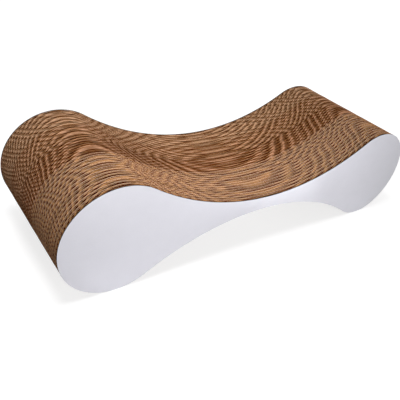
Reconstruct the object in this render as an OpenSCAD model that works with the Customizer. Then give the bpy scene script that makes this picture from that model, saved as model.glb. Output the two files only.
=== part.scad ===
// Cardboard cat scratcher: a lounge of corrugated boards standing on edge and glued face to face,
// with a white side panel on each outer face. Two round ends, a seat above and an arch below.
// The length runs along X and the boards are stacked along Y. Z is up from the resting face.

/* [Outline] */
// Length over both round ends
length = 782; // [620:1:960]
// Height over the round ends, before they are pressed flat below
height = 193; // [150:1:230]
// Thickness of the boards at the middle of the seat
waist = 25; // [15:1:60]
// Depth to which the part's own weight presses each round end flat
rest_flat = 0.5; // [0.2:0.1:2]

/* [Stack] */
// Number of corrugated boards
board_count = 36; // [24:1:48]
// Thickness of one double-wall board with its film of glue
board_t = 7.2; // [5:0.1:9]

/* [Side panels] */
// Thickness of each side panel
panel_t = 1.8; // [1:0.1:4]

/* [Hidden] */
$fn = 180;
// Radius of the round ends
end_r = height / 2;
// Distance from the middle of the part to the centre of a round end
end_x = length / 2 - end_r;
// How far the seat's circle runs into each round end, so that the two curves cross cleanly
blend_overlap = 0.05;
meet_r = end_r - blend_overlap;
// Radius of the seat and of the arch, which run almost tangent into the round ends
seat_r = (pow(end_x, 2) + pow(waist / 2, 2) - pow(meet_r, 2)) / (2 * meet_r - waist);
// Height of the seat's centre above the middle of the waist
seat_rise = seat_r + waist / 2;
// Share of the line from the seat's centre to a round end's centre at which the two curves meet
meet_share = seat_r / (seat_r + meet_r);
// Whole width across the boards, without the side panels
stack_w = board_count * board_t;
// One overrun serves every cut
overrun = 1;

// Two digits keep the boards in order
function board_name(k) = str("board_", k < 10 ? "0" : "", k);

// The body between the centres of the round ends, with the seat and the arch cut from it
module seat_body(thickness) {
    meet_x = end_x * meet_share;
    meet_z = seat_rise * (1 - meet_share);
    difference() {
        linear_extrude(height = thickness)
            polygon([
                [-end_x, 0],
                [-meet_x, meet_z],
                [meet_x, meet_z],
                [end_x, 0],
                [meet_x, -meet_z],
                [-meet_x, -meet_z]
            ]);
        for (side = [-1, 1])
            translate([0, side * seat_rise, -overrun])
                cylinder(r = seat_r, h = thickness + 2 * overrun);
    }
}

// The whole outline lying flat, centred on the waist
module whole_sheet(thickness) {
    union() {
        for (side = [-1, 1])
            translate([side * end_x, 0, 0])
                cylinder(r = end_r, h = thickness);
        seat_body(thickness);
    }
}

// A sheet of the outline on edge, from y to y + thickness, with both round ends pressed flat below
module sheet(y, thickness) {
    difference() {
        translate([0, y + thickness, end_r - rest_flat])
            rotate([90, 0, 0])
                whole_sheet(thickness);
        translate([-length / 2, y - overrun, -rest_flat - overrun])
            cube([length, thickness + 2 * overrun, rest_flat + overrun]);
    }
}

// One double-wall corrugated board, counted from the front
module board(k) {
    shade = k % 2 == 0 ? "burlywood" : "tan";
    color(shade)
        sheet(-stack_w / 2 + (k - 1) * board_t, board_t);
}

// White-faced panel glued over the first board
module side_panel_front() {
    color("lavender")
        sheet(-stack_w / 2 - panel_t, panel_t);
}

// White-faced panel glued over the last board
module side_panel_back() {
    color("lavender")
        sheet(stack_w / 2, panel_t);
}

side_panel_front();
side_panel_back();
for (k = [1:board_count])
    board(k);
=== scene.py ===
"""Cardboard cat scratcher: corrugated boards on edge, glued face to face, between two white side panels.

X runs along the length, Y across the stack from the front panel to the back one, Z up from the floor.
Every board is made as the real one is: three flat liners with large and small flutes between them.
"""

import math

import bpy
import numpy as np
from mathutils import Matrix, Vector


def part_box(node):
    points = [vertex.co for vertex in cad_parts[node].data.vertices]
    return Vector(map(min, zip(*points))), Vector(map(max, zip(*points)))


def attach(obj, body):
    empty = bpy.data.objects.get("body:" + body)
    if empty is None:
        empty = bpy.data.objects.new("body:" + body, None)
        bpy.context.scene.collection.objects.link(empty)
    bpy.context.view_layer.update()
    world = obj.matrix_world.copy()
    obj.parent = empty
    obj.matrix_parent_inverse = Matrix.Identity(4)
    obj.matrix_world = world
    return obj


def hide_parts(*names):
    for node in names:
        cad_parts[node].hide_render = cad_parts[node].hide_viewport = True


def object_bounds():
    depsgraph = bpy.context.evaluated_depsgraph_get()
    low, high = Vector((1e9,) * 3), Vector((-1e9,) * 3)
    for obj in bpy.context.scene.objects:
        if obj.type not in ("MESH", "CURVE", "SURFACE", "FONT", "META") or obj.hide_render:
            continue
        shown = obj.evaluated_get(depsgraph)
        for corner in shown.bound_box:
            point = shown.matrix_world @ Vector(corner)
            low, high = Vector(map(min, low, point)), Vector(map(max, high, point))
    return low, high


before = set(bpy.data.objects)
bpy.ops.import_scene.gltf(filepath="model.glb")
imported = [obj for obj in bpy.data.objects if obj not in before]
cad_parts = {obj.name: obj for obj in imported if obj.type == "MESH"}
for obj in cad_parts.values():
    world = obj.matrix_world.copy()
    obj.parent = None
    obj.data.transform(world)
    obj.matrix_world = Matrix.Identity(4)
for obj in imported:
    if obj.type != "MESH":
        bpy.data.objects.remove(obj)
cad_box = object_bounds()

# Outline, in metres, as in the CAD source
END_R = 0.0965
END_X = 0.2945
WAIST = 0.025
REST_FLAT = 0.0005
MID_Z = END_R - REST_FLAT
SEAT_R = (END_X ** 2 + (WAIST / 2) ** 2 - END_R ** 2) / (2 * END_R - WAIST)
SEAT_RISE = SEAT_R + WAIST / 2

# Stack
BOARD_COUNT = 36
BOARD_T = 0.0072
STACK_FRONT = -BOARD_COUNT * BOARD_T / 2
# Everything is cut this much inside the CAD outline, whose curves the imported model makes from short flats
TRIM = 0.00008
# The most that one board is cut smaller than another
CUT_SPREAD = 0.0003

# Double-wall board, front to back: liner, large flutes, liner, small flutes, liner
LINER_T = 0.00045
MIDDLE_LINER_T = 0.00034
MEDIUM_T = 0.00034
GLUE_GAP = 0.00003
LARGE_HEIGHT = 0.0037
SMALL_HEIGHT = BOARD_T - GLUE_GAP - 2 * LINER_T - MIDDLE_LINER_T - LARGE_HEIGHT
LARGE_PITCH = 0.00796
SMALL_PITCH = 0.0065
# A board's shift and slant are counted in periods of its large flutes. This many small ones go into each.
SMALL_PER_LARGE = LARGE_PITCH / SMALL_PITCH
# Papers of a board: its flutes, its liners, and a liner glued to a side panel
MEDIUM, LINER, GLUED = 0, 1, 2

# Side panels: how far the die rounds their rims, and the share of that at which the corner bends
PANEL_RIM = 0.0003
BEND_SHARE = 0.3

# Mesh: rows to a flute, columns of a fluted half sheet, height of a liner's rows, and how far from a flat run
# of the outline there are further rows
ROWS_PER_FLUTE = 12
FLUTED_COLUMNS = 4
LINER_ROW = 0.003
NEAR_FLAT = (0.0, 0.00002, 0.0001, 0.0003)
# How far below the top of the outline the last row lies
TOP_GAP = 0.00001
# Points of a side panel's outline over half the seat. A round end has twice as many.
OUTLINE_STEPS = 64
# Corners sharper than this aren't shaded smooth
SHARP_ANGLE = math.radians(40)

# Blocks of one kraft: first board, stretch of the flutes, skew of the flutes in periods per metre, kraft
BLOCKS = [
    dict(first=0, stretch=1.03, skew=-0.9, kraft="near"),
    dict(first=14, stretch=1.0, skew=-0.5, kraft="middle"),
    dict(first=21, stretch=1.0, skew=-0.5, kraft="rear"),
    dict(first=28, stretch=0.985, skew=-0.3, kraft="far"),
]
# Batches cut one after another: first board, the step by which the flutes move from board to board, and how
# uneven it is, in periods
BATCHES = [
    dict(first=0, step=-0.14, jitter=0.12),
    dict(first=9, step=0.45, jitter=0.12),
    dict(first=14, step=-0.22, jitter=0.07),
    dict(first=21, step=0.27, jitter=0.07),
    dict(first=24, step=-0.46, jitter=0.12),
    dict(first=28, step=0.43, jitter=0.12),
]
# How uneven the skew is, in periods per metre
SKEW_JITTER = 0.2
# The flutes waver by this many periods, in waves of so many radians per metre
WAVER = 0.05
LEAST_WAVES, MOST_WAVES = 10, 18
SEED = 11
TURN = 2 * math.pi


def last_before(entries, k):
    """The block or batch that board k belongs to."""
    return [entry for entry in entries if entry["first"] <= k][-1]


def span(height, inset):
    """Inner and outer end along X of a sheet's right half, at heights above the middle."""
    end_r, seat_r = END_R - inset, SEAT_R + inset
    up = np.abs(height)
    half = np.sqrt(np.maximum(end_r ** 2 - up ** 2, 0.0))
    seat = np.sqrt(np.maximum(seat_r ** 2 - (SEAT_RISE - up) ** 2, 0.0))
    meet = SEAT_RISE * end_r / (end_r + seat_r)
    return np.where(up < meet, seat, END_X - half), END_X + half


def heights(step, inset):
    """Rows of a sheet from bottom to top, to the micrometre, closer together where the outline runs flat."""
    low, high, waist = -MID_Z, END_R - inset - TOP_GAP, WAIST / 2 - inset
    rows = list(np.arange(low, high, step)) + [high]
    for flat, way in ((high, -1), (waist, 1), (-waist, -1), (low, 1)):
        rows += [flat + way * d for d in NEAR_FLAT]
    return np.unique(np.round(np.clip(rows, low, high), 6))


def quads(*corners):
    """Four-sided faces, from the numbers of the points at each of their corners."""
    return np.stack([c.ravel() for c in corners], axis=-1)


def half_sheet(faces_y, rows, inset, side, columns):
    """Points, faces, edge faces and the points on the seam of one half of a closed sheet.

    faces_y holds two functions that give Y from X and height, for the front and the back face.
    """
    inner, outer = span(rows, inset)
    share = np.linspace(0.0, 1.0, columns + 1)
    x = side * (inner[:, None] + (outer - inner)[:, None] * share)
    z = np.repeat(rows[:, None], columns + 1, axis=1)
    points = np.concatenate([np.stack([x, y_of(x, z), z + MID_Z], -1).reshape(-1, 3) for y_of in faces_y])
    front = np.arange(x.size).reshape(x.shape)
    back = front + x.size
    faces = np.concatenate([
        quads(front[:-1, :-1], front[:-1, 1:], front[1:, 1:], front[1:, :-1]),
        quads(back[:-1, :-1], back[1:, :-1], back[1:, 1:], back[:-1, 1:]),
    ])
    # Below the seat the two halves join, so the inner end is open there
    cut = ~((inner[:-1] == 0.0) & (inner[1:] == 0.0))
    edges = np.concatenate([
        quads(front[:-1, -1], back[:-1, -1], back[1:, -1], front[1:, -1]),
        quads(front[0, :-1], back[0, :-1], back[0, 1:], front[0, 1:]),
        quads(front[-1, :-1], front[-1, 1:], back[-1, 1:], back[-1, :-1]),
        quads(front[:-1, 0][cut], front[1:, 0][cut], back[1:, 0][cut], back[:-1, 0][cut]),
    ])
    if side < 0:
        faces, edges = faces[:, ::-1], edges[:, ::-1]
    seam = np.concatenate([front[:, 0][inner == 0.0], back[:, 0][inner == 0.0]])
    return points, faces, edges, seam


class Sheets:
    """Collects closed sheets into one mesh. Each paper has two materials, for its faces and its cut edges."""

    def __init__(self):
        self.points, self.faces, self.kinds, self.count = [], [], [], 0

    def add(self, paper, faces_y, rows, inset, columns):
        right, right_faces, right_edges, seam = half_sheet(faces_y, rows, inset, 1, columns)
        left, left_faces, left_edges, _ = half_sheet(faces_y, rows, inset, -1, columns)
        # On the seam the left half takes the points of the right one
        shared = np.arange(2 * len(right))
        shared[seam + len(right)] = seam
        used = np.unique(shared)
        index = np.searchsorted(used, shared)
        points = np.concatenate([right, left])[used]
        faces = index[np.concatenate([right_faces, left_faces + len(right)])]
        edges = index[np.concatenate([right_edges, left_edges + len(right)])]
        for part, kind in ((faces, 2 * paper), (edges, 2 * paper + 1)):
            self.faces.append(part + self.count)
            self.kinds.append(np.full(len(part), kind))
        self.points.append(points)
        self.count += len(points)

    def piece(self, name, materials):
        points, faces = np.concatenate(self.points), np.concatenate(self.faces)
        return make_piece(name, points.tolist(), faces.tolist(), np.concatenate(self.kinds), materials)


def make_piece(name, points, faces, kinds, materials):
    mesh = bpy.data.meshes.new(name)
    mesh.from_pydata(points, [], faces)
    for material in materials:
        mesh.materials.append(material)
    mesh.polygons.foreach_set("material_index", np.asarray(kinds, dtype=np.int32))
    mesh.polygons.foreach_set("use_smooth", np.ones(len(faces), dtype=bool))
    mesh.set_sharp_from_angle(angle=SHARP_ANGLE)
    mesh.update()
    piece = bpy.data.objects.new(name, mesh)
    bpy.context.scene.collection.objects.link(piece)
    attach(piece, "root")
    return piece


def add_liner(sheets, y, thickness, inset, paper=LINER):
    """One flat sheet from y to y + thickness."""
    faces_y = [lambda x, z, at=at: np.full_like(x, at) for at in (y, y + thickness)]
    sheets.add(paper, faces_y, heights(LINER_ROW, inset), inset, columns=1)


def add_medium(sheets, y, height, pitch, phase, skew, waver, inset):
    """One fluted sheet. Its flutes run along X and swing between y and y + height."""
    swing = (height - MEDIUM_T) / 2

    def face(way):
        def y_of(x, z):
            angle = TURN * (z / pitch + phase + skew * x + WAVER * np.sin(waver[0] * x + waver[1]))
            slope = swing * TURN / pitch * np.cos(angle)
            return y + height / 2 + swing * np.sin(angle) + way * MEDIUM_T / 2 * np.hypot(1.0, slope)

        return y_of

    sheets.add(MEDIUM, [face(-1), face(1)], heights(pitch / ROWS_PER_FLUTE, inset), inset, FLUTED_COLUMNS)


def make_board(k, phase, papers, rng):
    """Board k, counted from 0 at the front, as one piece."""
    block = last_before(BLOCKS, k)
    inset = TRIM + CUT_SPREAD * rng.random()
    skew = block["skew"] + SKEW_JITTER * rng.normal()
    wavers = [(rng.uniform(LEAST_WAVES, MOST_WAVES), rng.uniform(0, TURN)) for _ in range(2)]
    y = STACK_FRONT + k * BOARD_T + GLUE_GAP / 2
    sheets = Sheets()
    add_liner(sheets, y, LINER_T, inset, GLUED if k == 0 else LINER)
    y += LINER_T
    add_medium(sheets, y, LARGE_HEIGHT, block["stretch"] * LARGE_PITCH, phase, skew, wavers[0], inset)
    y += LARGE_HEIGHT
    add_liner(sheets, y, MIDDLE_LINER_T, inset)
    y += MIDDLE_LINER_T
    phase, skew = phase * SMALL_PER_LARGE, skew * SMALL_PER_LARGE
    add_medium(sheets, y, SMALL_HEIGHT, block["stretch"] * SMALL_PITCH, phase, skew, wavers[1], inset)
    y += SMALL_HEIGHT
    add_liner(sheets, y, LINER_T, inset, GLUED if k == BOARD_COUNT - 1 else LINER)
    piece = sheets.piece(f"corrugated_board_{k + 1:02d}", papers[block["kraft"]])
    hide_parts(f"board_{k + 1:02d}")


def make_boards(papers):
    rng = np.random.default_rng(SEED)
    phase = 0.0
    for k in range(BOARD_COUNT):
        batch = last_before(BATCHES, k)
        phase += batch["step"] + batch["jitter"] * rng.normal()
        make_board(k, phase, papers, rng)


def outline(inset):
    """The whole outline in X and height above the middle, clockwise from the left tip."""
    end_r, seat_r = END_R - inset, SEAT_R + inset
    meet = math.atan2(SEAT_RISE, END_X)
    lobe = np.linspace(0.0, math.pi - meet, 2 * OUTLINE_STEPS)
    arc = np.linspace(-meet, -math.pi / 2, OUTLINE_STEPS)[1:]
    x = np.concatenate([END_X + end_r * np.cos(lobe), seat_r * np.cos(arc)])
    z = np.concatenate([end_r * np.sin(lobe), SEAT_RISE + seat_r * np.sin(arc)])
    upper = np.stack([x, z], axis=-1)
    upper = np.concatenate([upper[:-1], upper[::-1] * [-1, 1]])
    points = np.concatenate([upper, upper[::-1][1:-1] * [1, -1]])
    points[:, 1] = np.maximum(points[:, 1], -MID_Z)
    return points


def make_panel(name, node, materials):
    """A side panel of solid board. Its rims are rounded a little by the cutting die."""
    low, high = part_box(node)
    bend = PANEL_RIM * BEND_SHARE
    profile = [(PANEL_RIM, 0.0), (bend, bend), (0.0, PANEL_RIM)]
    depth = high[1] - low[1]
    profile += [(cut, depth - y) for cut, y in profile[::-1]]
    rings = [outline(TRIM + cut) for cut, _ in profile]
    n = len(rings[0])
    points = [(x, low[1] + y, z + MID_Z) for ring, (_, y) in zip(rings, profile) for x, z in ring]
    last = (len(profile) - 1) * n
    faces = [list(range(n))[::-1], list(range(last, last + n))]
    for r in range(len(profile) - 1):
        for i in range(n):
            j = (i + 1) % n
            faces.append([r * n + i, r * n + j, (r + 1) * n + j, (r + 1) * n + i])
    # The white paper is pressed over the start of the outer corner and the rest of the cut edge is bare
    strips = range(len(profile) - 1)
    papered = strips[0] if low[1] < 0 else strips[-1]
    kinds = [0, 0] + [int(strip != papered) for strip in strips for _ in range(n)]
    piece = make_piece(name, points, faces, kinds, materials)
    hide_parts(node)


def srgb(r, g, b):
    """The linear colour of red, green and blue as a screen shows them, from 0 to 255."""

    def linear(v):
        v /= 255
        return v / 12.92 if v <= 0.04045 else ((v + 0.055) / 1.055) ** 2.4

    return (linear(r), linear(g), linear(b), 1.0)


# Kraft papers of the blocks. An edge runs from its pale fibres to its brown ones. The flutes go from their
# own colour to the inside one, painted shade of the deep flutes, between the two depths under the cut in
# pale_to. Slope is the tone on the slope from the left crest down to the seat.
KRAFT = {
    "near": dict(
        medium=srgb(201, 145, 93), medium_edge=(srgb(217, 165, 118), srgb(185, 133, 86)),
        liner=srgb(162, 75, 0), liner_edge=(srgb(247, 207, 176), srgb(223, 182, 150)),
        inside=srgb(104, 30, 0), pale_to=(0.0012, 0.0025), slope=1.0,
    ),
    "middle": dict(
        medium=srgb(218, 167, 137), medium_edge=(srgb(190, 138, 91), srgb(158, 106, 61)),
        liner=srgb(130, 56, 0), liner_edge=(srgb(170, 114, 67), srgb(138, 85, 42)),
        inside=srgb(86, 23, 0), pale_to=(0.0018, 0.0034), slope=0.71,
    ),
    "rear": dict(
        medium=srgb(226, 177, 147), medium_edge=(srgb(208, 156, 109), srgb(176, 125, 79)),
        liner=srgb(130, 58, 2), liner_edge=(srgb(191, 135, 88), srgb(160, 107, 62)),
        inside=srgb(82, 23, 0), pale_to=(0.0018, 0.0034), slope=0.77,
    ),
    "far": dict(
        medium=srgb(226, 182, 152), medium_edge=(srgb(217, 170, 124), srgb(186, 139, 96)),
        liner=srgb(146, 79, 8), liner_edge=(srgb(215, 164, 120), srgb(184, 133, 90)),
        inside=srgb(86, 27, 0), pale_to=(0.0018, 0.0034), slope=0.81,
    ),
}
# Cut edge of a liner that is glued to a side panel
GLUED_EDGE = (srgb(98, 72, 52), srgb(70, 50, 36))
# The most that one board is darker than another
BOARD_SPREAD = 0.3
# Where that slope starts, its length along X, and the shares of the length between which it is darkest
SLOPE_START, SLOPE_LENGTH = -0.30, 0.21
DARKEST_SHARES = (0.29, 0.48)
# Depths under the cut between which painted shade takes the liners from pale to dark
LINER_SHADE = (0.0, 0.0008)


class Nodes:
    """Short ways to add nodes to one material or world."""

    def __init__(self, tree):
        self.tree = tree

    def add(self, kind, **settings):
        node = self.tree.nodes.new(kind)
        for key, value in settings.items():
            setattr(node, key, value)
        return node

    def put(self, socket, value):
        if isinstance(value, bpy.types.NodeSocket):
            self.tree.links.new(value, socket)
        else:
            socket.default_value = value

    def math(self, operation, *values):
        node = self.add("ShaderNodeMath", operation=operation)
        for socket, value in zip(node.inputs, values):
            self.put(socket, value)
        return node.outputs[0]

    def place(self, stretch=(1, 1, 1)):
        mapping = self.add("ShaderNodeMapping")
        mapping.inputs["Scale"].default_value = stretch
        self.put(mapping.inputs["Vector"], self.add("ShaderNodeTexCoord").outputs["Object"])
        return mapping.outputs["Vector"]

    def noise(self, scale, stretch=(1, 1, 1), detail=3.0):
        node = self.add("ShaderNodeTexNoise")
        node.inputs["Scale"].default_value = scale
        node.inputs["Detail"].default_value = detail
        self.put(node.inputs["Vector"], self.place(stretch))
        return node.outputs["Fac"]

    def ramp(self, value, *stops):
        node = self.add("ShaderNodeValToRGB")
        elements = node.color_ramp.elements
        while len(elements) < len(stops):
            elements.new(0.5)
        for element, (at, color) in zip(elements, stops):
            element.position, element.color = at, color
        self.put(node.inputs["Fac"], value)
        return node.outputs["Color"]

    def tint(self, color, tone, share=1.0):
        """The colour multiplied by the tone, as far as share says."""
        node = self.add("ShaderNodeMix", data_type="RGBA", blend_type="MULTIPLY")
        for socket, value in ((node.inputs[0], share), (node.inputs[6], color), (node.inputs[7], tone)):
            self.put(socket, value)
        return node.outputs[2]

    def rough(self, shader, scale, least, spread):
        """An uneven roughness of the paper."""
        self.put(shader.inputs["Roughness"], self.math("MULTIPLY_ADD", self.noise(scale), spread, least))

    def bump(self, shader, height, distance):
        node = self.add("ShaderNodeBump")
        node.inputs["Distance"].default_value = distance
        self.put(node.inputs["Height"], height)
        self.put(shader.inputs["Normal"], node.outputs["Normal"])


def new_material(name):
    made = bpy.data.materials.new(name)
    made.use_nodes = True
    return made, Nodes(made.node_tree), made.node_tree.nodes["Principled BSDF"]


def cut_depth(nodes):
    """How deep a point lies inside the cut outline, in metres."""
    split = nodes.add("ShaderNodeSeparateXYZ")
    nodes.put(split.inputs[0], nodes.place())
    x = nodes.math("ABSOLUTE", split.outputs[0])
    z = nodes.math("ABSOLUTE", nodes.math("SUBTRACT", split.outputs[2], MID_Z))

    def length(a, b):
        return nodes.math("SQRT", nodes.math("MULTIPLY_ADD", a, a, nodes.math("MULTIPLY", b, b)))

    rise = nodes.math("SUBTRACT", SEAT_RISE, z)
    in_end = nodes.math("SUBTRACT", END_R, length(nodes.math("SUBTRACT", x, END_X), z))
    under_seat = nodes.math("SUBTRACT", length(x, rise), SEAT_R)
    beside_end = nodes.math("LESS_THAN", nodes.math("MULTIPLY", x, SEAT_RISE / END_X), rise)
    more = nodes.math("SUBTRACT", under_seat, in_end)
    return nodes.math("MULTIPLY_ADD", beside_end, more, in_end)


def grey(level):
    return (level, level, level, 1)


def tinted(nodes, color, spread, slope):
    """The colour, with a tone that changes from board to board and another on the slope of the left crest."""
    split = nodes.add("ShaderNodeSeparateXYZ")
    nodes.put(split.inputs[0], nodes.place())
    from_front = nodes.math("SUBTRACT", split.outputs[1], STACK_FRONT)
    draw = nodes.add("ShaderNodeTexWhiteNoise", noise_dimensions="1D")
    nodes.put(draw.inputs["W"], nodes.math("FLOOR", nodes.math("DIVIDE", from_front, BOARD_T)))
    tone = nodes.ramp(draw.outputs["Value"], (0.0, grey(1 - spread)), (1.0, grey(1)))
    along = nodes.math("DIVIDE", nodes.math("SUBTRACT", split.outputs[0], SLOPE_START), SLOPE_LENGTH)
    stops = [(share, grey(slope)) for share in DARKEST_SHARES]
    shade = nodes.ramp(along, (0.0, grey(1)), *stops, (1.0, grey(1)))
    on_top = nodes.math("GREATER_THAN", split.outputs[2], MID_Z)
    return nodes.tint(nodes.tint(color, tone), shade, on_top)


def kraft_face(name, at_edge, inside, dark_from, dark_to, slope):
    """Paper inside the flutes: its own colour beside the cut, with painted shade that darkens it further in.
    """
    made, nodes, shader = new_material(name)
    reach = 2 * dark_to
    # Painted shade: the paper goes from its own colour to the dark inside one with depth under the cut
    painted_shade_color = nodes.ramp(
        nodes.math("MULTIPLY", cut_depth(nodes), 1 / reach),
        (dark_from / reach, at_edge), (dark_to / reach, inside),
    )
    along_fibres = nodes.noise(scale=500, stretch=(0.35, 1, 1))
    fibres = nodes.ramp(along_fibres, (0.35, srgb(222, 214, 204)), (0.65, srgb(255, 253, 248)))
    nodes.put(shader.inputs["Base Color"], tinted(nodes, nodes.tint(painted_shade_color, fibres), BOARD_SPREAD, slope))
    nodes.rough(shader, scale=300, least=0.85, spread=0.12)
    shader.inputs["Specular IOR Level"].default_value = 0.0
    nodes.bump(shader, nodes.noise(scale=1600, stretch=(0.4, 1, 1)), distance=0.00006)
    return made


def kraft_edge(name, pale, brown, slope=1.0):
    """Cut edge of the paper, with torn fibres."""
    made, nodes, shader = new_material(name)
    fibres = nodes.ramp(nodes.noise(scale=900, detail=5.0), (0.3, brown), (0.62, pale))
    nodes.put(shader.inputs["Base Color"], tinted(nodes, fibres, BOARD_SPREAD / 2, slope))
    nodes.rough(shader, scale=700, least=0.88, spread=0.1)
    shader.inputs["Specular IOR Level"].default_value = 0.0
    nodes.bump(shader, nodes.noise(scale=2500, detail=4.0), distance=0.00012)
    return made


def kraft_papers(block, glued_edge):
    """Materials of one block: faces and edges of its flutes, its liners and its glued liner."""
    look = KRAFT[block]
    slope = look["slope"]
    liner_face = kraft_face(f"{block}_liner_face", look["liner"], look["inside"], *LINER_SHADE, slope)
    return (
        kraft_face(f"{block}_medium_face", look["medium"], look["inside"], *look["pale_to"], slope),
        kraft_edge(f"{block}_medium_edge", *look["medium_edge"], slope),
        liner_face,
        kraft_edge(f"{block}_liner_edge", *look["liner_edge"], slope),
        liner_face,
        glued_edge,
    )


def white_face():
    """Coated white paper with a satin sheen."""
    made, nodes, shader = new_material("white_satin_face")
    cloud = nodes.ramp(nodes.noise(scale=45), (0.3, srgb(231, 230, 238)), (0.7, srgb(233, 232, 240)))
    fine = nodes.noise(scale=900, stretch=(1, 1, 2.5))
    grain = nodes.ramp(fine, (0.3, srgb(249, 249, 250)), (0.7, srgb(255, 255, 255)))
    nodes.put(shader.inputs["Base Color"], nodes.tint(cloud, grain))
    nodes.rough(shader, scale=250, least=0.4, spread=0.1)
    nodes.bump(shader, nodes.noise(scale=700, stretch=(1, 1, 2)), distance=0.00002)
    return made


def panel_rim():
    """Bare dark brown cut edge of the solid board, in thin plies."""
    made, nodes, shader = new_material("panel_cut_edge")
    plies = nodes.noise(scale=260, stretch=(0.2, 12, 0.2), detail=4.0)
    color = nodes.ramp(plies, (0.3, srgb(38, 28, 21)), (0.55, srgb(56, 42, 32)), (0.7, srgb(78, 61, 49)))
    nodes.put(shader.inputs["Base Color"], color)
    nodes.rough(shader, scale=500, least=0.85, spread=0.1)
    nodes.bump(shader, plies, distance=0.00008)
    return made


def seen_share(nodes):
    """1 for what the camera or a reflection sees, 0 for what only lights the object."""
    path = nodes.add("ShaderNodeLightPath").outputs
    seen = nodes.math("MAXIMUM", path["Is Camera Ray"], path["Is Glossy Ray"])
    return nodes.math("MAXIMUM", seen, path["Is Transmission Ray"])


# Floor: half its length, its grey for the light that it throws back and for the camera, and a glow that lifts
# what the camera sees towards white, given as two distances from the part and the strengths there
FLOOR_HALF = 12.0
THROWN_GREY, SEEN_GREY = grey(0.5), grey(0.35)
GLOW_FROM, GLOW_TO = 0.35, 0.9
LEAST_GLOW, MOST_GLOW = 0.77, 1.0


def floor_material():
    """One grey for the light that the floor throws back and another, with a glow, for the camera."""
    made = bpy.data.materials.new("pale_floor")
    made.use_nodes = True
    made.node_tree.nodes.clear()
    nodes = Nodes(made.node_tree)
    thrown = nodes.add("ShaderNodeBsdfDiffuse")
    thrown.inputs["Color"].default_value = THROWN_GREY
    seen = nodes.add("ShaderNodeBsdfDiffuse")
    seen.inputs["Color"].default_value = SEEN_GREY
    lift = nodes.add("ShaderNodeEmission")
    away = nodes.add("ShaderNodeVectorMath", operation="LENGTH")
    nodes.put(away.inputs[0], nodes.place())
    fade = nodes.add("ShaderNodeMapRange", interpolation_type="SMOOTHSTEP")
    values = (away.outputs["Value"], GLOW_FROM, GLOW_TO, LEAST_GLOW, MOST_GLOW)
    for socket, value in zip(fade.inputs, values):
        nodes.put(socket, value)
    nodes.put(lift.inputs["Strength"], fade.outputs["Result"])
    both = nodes.add("ShaderNodeAddShader")
    nodes.put(both.inputs[0], seen.outputs[0])
    nodes.put(both.inputs[1], lift.outputs[0])
    mix = nodes.add("ShaderNodeMixShader")
    nodes.put(mix.inputs[0], seen_share(nodes))
    nodes.put(mix.inputs[1], thrown.outputs[0])
    nodes.put(mix.inputs[2], both.outputs[0])
    nodes.put(nodes.add("ShaderNodeOutputMaterial").inputs["Surface"], mix.outputs[0])
    return made


def make_floor():
    corners = [(x * FLOOR_HALF, y * FLOOR_HALF, 0) for x, y in ((-1, -1), (1, -1), (1, 1), (-1, 1))]
    mesh = bpy.data.meshes.new("floor")
    mesh.from_pydata(corners, [], [(0, 1, 2, 3)])
    mesh.materials.append(floor_material())
    floor = bpy.data.objects.new("floor", mesh)
    bpy.context.scene.collection.objects.link(floor)


# Strength of the light from all around
WORLD_LEVEL = 0.2


def make_world():
    """An even light from all around, in front of white for the camera."""
    world = bpy.data.worlds.new("studio")
    bpy.context.scene.world = world
    world.use_nodes = True
    world.node_tree.nodes.clear()
    nodes = Nodes(world.node_tree)
    light = nodes.add("ShaderNodeBackground")
    light.inputs["Strength"].default_value = WORLD_LEVEL
    white = nodes.add("ShaderNodeBackground")
    for background in (light, white):
        background.inputs["Color"].default_value = grey(1)
    mix = nodes.add("ShaderNodeMixShader")
    nodes.put(mix.inputs[0], seen_share(nodes))
    nodes.put(mix.inputs[1], light.outputs[0])
    nodes.put(mix.inputs[2], white.outputs[0])
    nodes.put(nodes.add("ShaderNodeOutputWorld").inputs["Surface"], mix.outputs[0])


def aim(thing, place, target):
    thing.location = place
    thing.rotation_mode = "QUATERNION"
    thing.rotation_quaternion = (Vector(target) - Vector(place)).to_track_quat("-Z", "Y")


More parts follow.
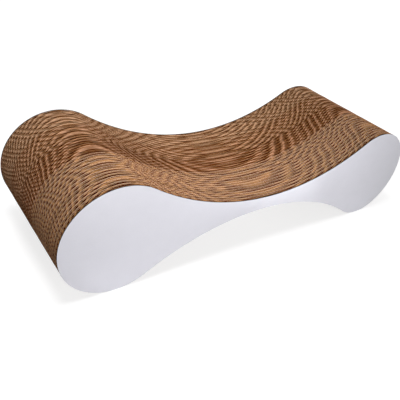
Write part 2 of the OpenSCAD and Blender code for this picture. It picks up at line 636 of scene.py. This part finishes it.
# Lamps: name, place, target, angle of the cone in degrees, radius and power
LAMPS = [
    ("overhead", (-0.4, -0.15, 1.6), (-0.08, -0.02, 0.1), 50, 0.3, 86),
    ("front", (-0.1, -1.7, 0.45), (-0.1, 0, 0.1), 60, 0.5, 70),
    ("glow", (0.1, -1.7, 0.4), (0.05, -0.13, 0.09), 8, 0.03, 18),
    ("back", (0.3, 1.7, 0.7), (0, 0, 0.1), 60, 0.5, 60),
    ("right", (1.7, 0.3, 0.6), (0.2, 0, 0.1), 50, 0.4, 26),
    ("left", (-1.6, -0.2, 0.45), (-0.3, 0, 0.08), 40, 0.4, 4),
]


def make_spot(name, place, target, cone, radius, power):
    data = bpy.data.lights.new(name, "SPOT")
    data.spot_size, data.spot_blend = math.radians(cone), 1.0
    data.shadow_soft_size = radius
    data.energy = power
    lamp = bpy.data.objects.new(name, data)
    bpy.context.scene.collection.objects.link(lamp)
    aim(lamp, place, target)


# Camera, fitted to the outlines in the photograph. Its place is counted in widths of the part from the middle
# of the front face, its angles in degrees, and its focal length and shift in widths of the picture.
WIDTH = cad_box[1][1] - cad_box[0][1]
CAMERA_WIDTHS = (-2.240, -1.961, 1.793)
YAW, PITCH, ROLL = 40.96, 31.23, -11.26
FOCAL_LENGTH = 1.24875
SHIFT = -0.025


def make_camera():
    data = bpy.data.cameras.new("camera")
    camera = bpy.data.objects.new("camera", data)
    bpy.context.scene.collection.objects.link(camera)
    data.lens = FOCAL_LENGTH * data.sensor_width
    data.shift_x = data.shift_y = SHIFT
    yaw, pitch, roll = (math.radians(v) for v in (YAW, PITCH, ROLL))
    forward = Vector((math.sin(yaw) * math.cos(pitch), math.cos(yaw) * math.cos(pitch), -math.sin(pitch)))
    level = Vector((math.cos(yaw), -math.sin(yaw), 0.0))
    under = forward.cross(level)
    right = math.cos(roll) * level + math.sin(roll) * under
    down = -math.sin(roll) * level + math.cos(roll) * under
    turned = Matrix((right, -down, -forward)).transposed().to_4x4()
    face = (0, cad_box[0][1], MID_Z)
    place = [start + widths * WIDTH for start, widths in zip(face, CAMERA_WIDTHS)]
    camera.matrix_world = Matrix.Translation(place) @ turned
    bpy.context.scene.camera = camera


def main():
    glued_edge = kraft_edge("glued_liner_edge", *GLUED_EDGE)
    papers = {block: kraft_papers(block, glued_edge) for block in KRAFT}
    make_boards(papers)
    panel = (white_face(), panel_rim())
    make_panel("front_side_panel", "side_panel_front", panel)
    make_panel("back_side_panel", "side_panel_back", panel)
    make_floor()
    make_world()
    for lamp in LAMPS:
        make_spot(*lamp)
    make_camera()
    bpy.context.scene.view_settings.view_transform = "Standard"


main()
